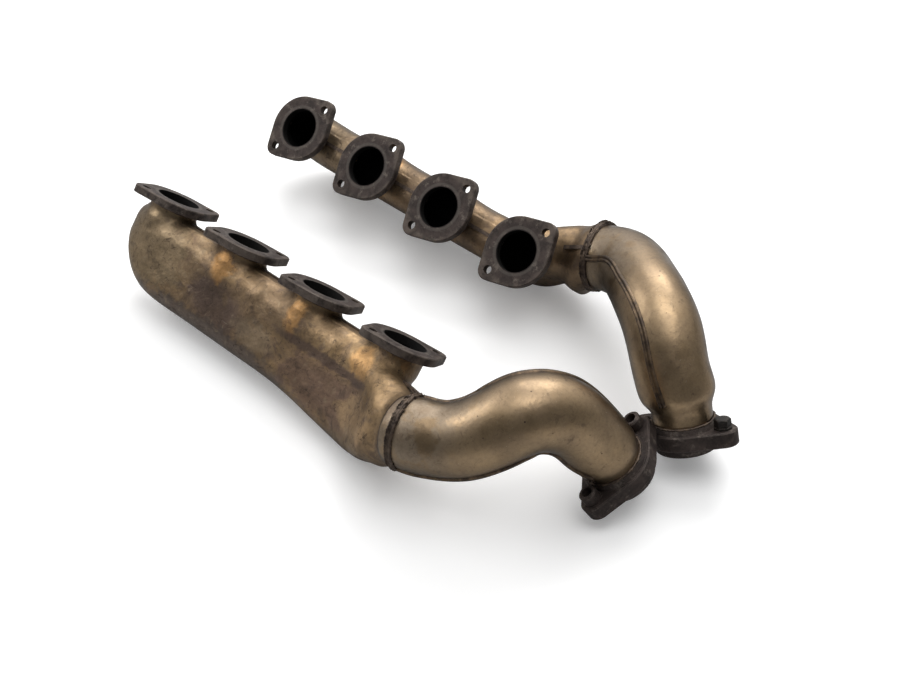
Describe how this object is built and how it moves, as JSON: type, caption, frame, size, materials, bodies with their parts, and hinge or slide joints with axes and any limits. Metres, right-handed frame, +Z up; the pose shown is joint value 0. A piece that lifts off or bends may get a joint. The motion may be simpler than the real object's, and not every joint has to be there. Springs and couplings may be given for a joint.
{
  "type": "exhaust manifold pair",
  "caption": "Matched pair of welded sheet-steel exhaust manifolds for a V engine: flanged port rows on pressed logs, each with a curved outlet pipe and a two-bolt outlet flange.",
  "frame": {"origin": "middle of the pair's overall box, on the floor", "axes": "+X along the port rows towards the outlets, +Y from the left manifold to the right one, +Z up from the floor the pair lies on"},
  "size_m": [0.6362, 0.379, 0.1448],
  "materials": {
    "shell_gold": "heat-tinted satin stainless sheet",
    "shell_dark": "dark heat-tinted stainless sheet",
    "flange_dark": "matte oxidised steel plate",
    "weld": "rough weld bead",
    "bolt_black": "black oxidised steel"
  },
  "bodies": {
    "left_manifold": {"left_boss_lower": "flange_dark", "left_boss_upper": "flange_dark", "left_collector_weld": "weld", "left_log_seam_weld": "shell_dark", "left_log_shell_inner": "shell_dark", "left_log_shell_outer": "shell_gold", "left_outlet_flange": "flange_dark", "left_outlet_flange_weld": "weld", "left_outlet_seam_lower": "shell_gold", "left_outlet_seam_upper": "shell_gold", "left_outlet_shell_back": "shell_gold", "left_outlet_shell_front": "shell_gold", "left_port_flange_1": "flange_dark", "left_port_flange_2": "flange_dark", "left_port_flange_3": "flange_dark", "left_port_flange_4": "flange_dark", "left_port_neck_1": "shell_dark", "left_port_neck_2": "shell_dark", "left_port_neck_3": "shell_dark", "left_port_neck_4": "shell_dark", "left_port_weld_1": "weld", "left_port_weld_2": "weld", "left_port_weld_3": "weld", "left_port_weld_4": "weld"},
    "right_manifold": {"right_collector_weld": "weld", "right_log_seam_weld": "shell_dark", "right_log_shell_inner": "shell_dark", "right_log_shell_outer": "shell_gold", "right_outlet_flange": "flange_dark", "right_outlet_flange_weld": "weld", "right_outlet_seam_lower": "shell_gold", "right_outlet_seam_upper": "shell_gold", "right_outlet_shell_back": "shell_gold", "right_outlet_shell_front": "shell_gold", "right_port_flange_1": "flange_dark", "right_port_flange_2": "flange_dark", "right_port_flange_3": "flange_dark", "right_port_flange_4": "flange_dark", "right_port_neck_1": "shell_dark", "right_port_neck_2": "shell_dark", "right_port_neck_3": "shell_dark", "right_port_neck_4": "shell_dark", "right_port_weld_1": "weld", "right_port_weld_2": "weld", "right_port_weld_3": "weld", "right_port_weld_4": "weld"},
    "outlet_bolt": {"right_outlet_bolt": "bolt_black"}
  },
  "joints": [
    {"name": "pair_spread", "type": "slide", "parent": "left_manifold", "child": "right_manifold", "axis": [0, 1, 0], "range_m": [0, 0.2]},
    {"name": "bolt_turn", "type": "hinge", "parent": "right_manifold", "child": "outlet_bolt", "pos_m": [0.29985, 0.05431, 0.05449], "axis": [0.4391, -0.2215, -0.8707], "continuous": true}
  ]
}
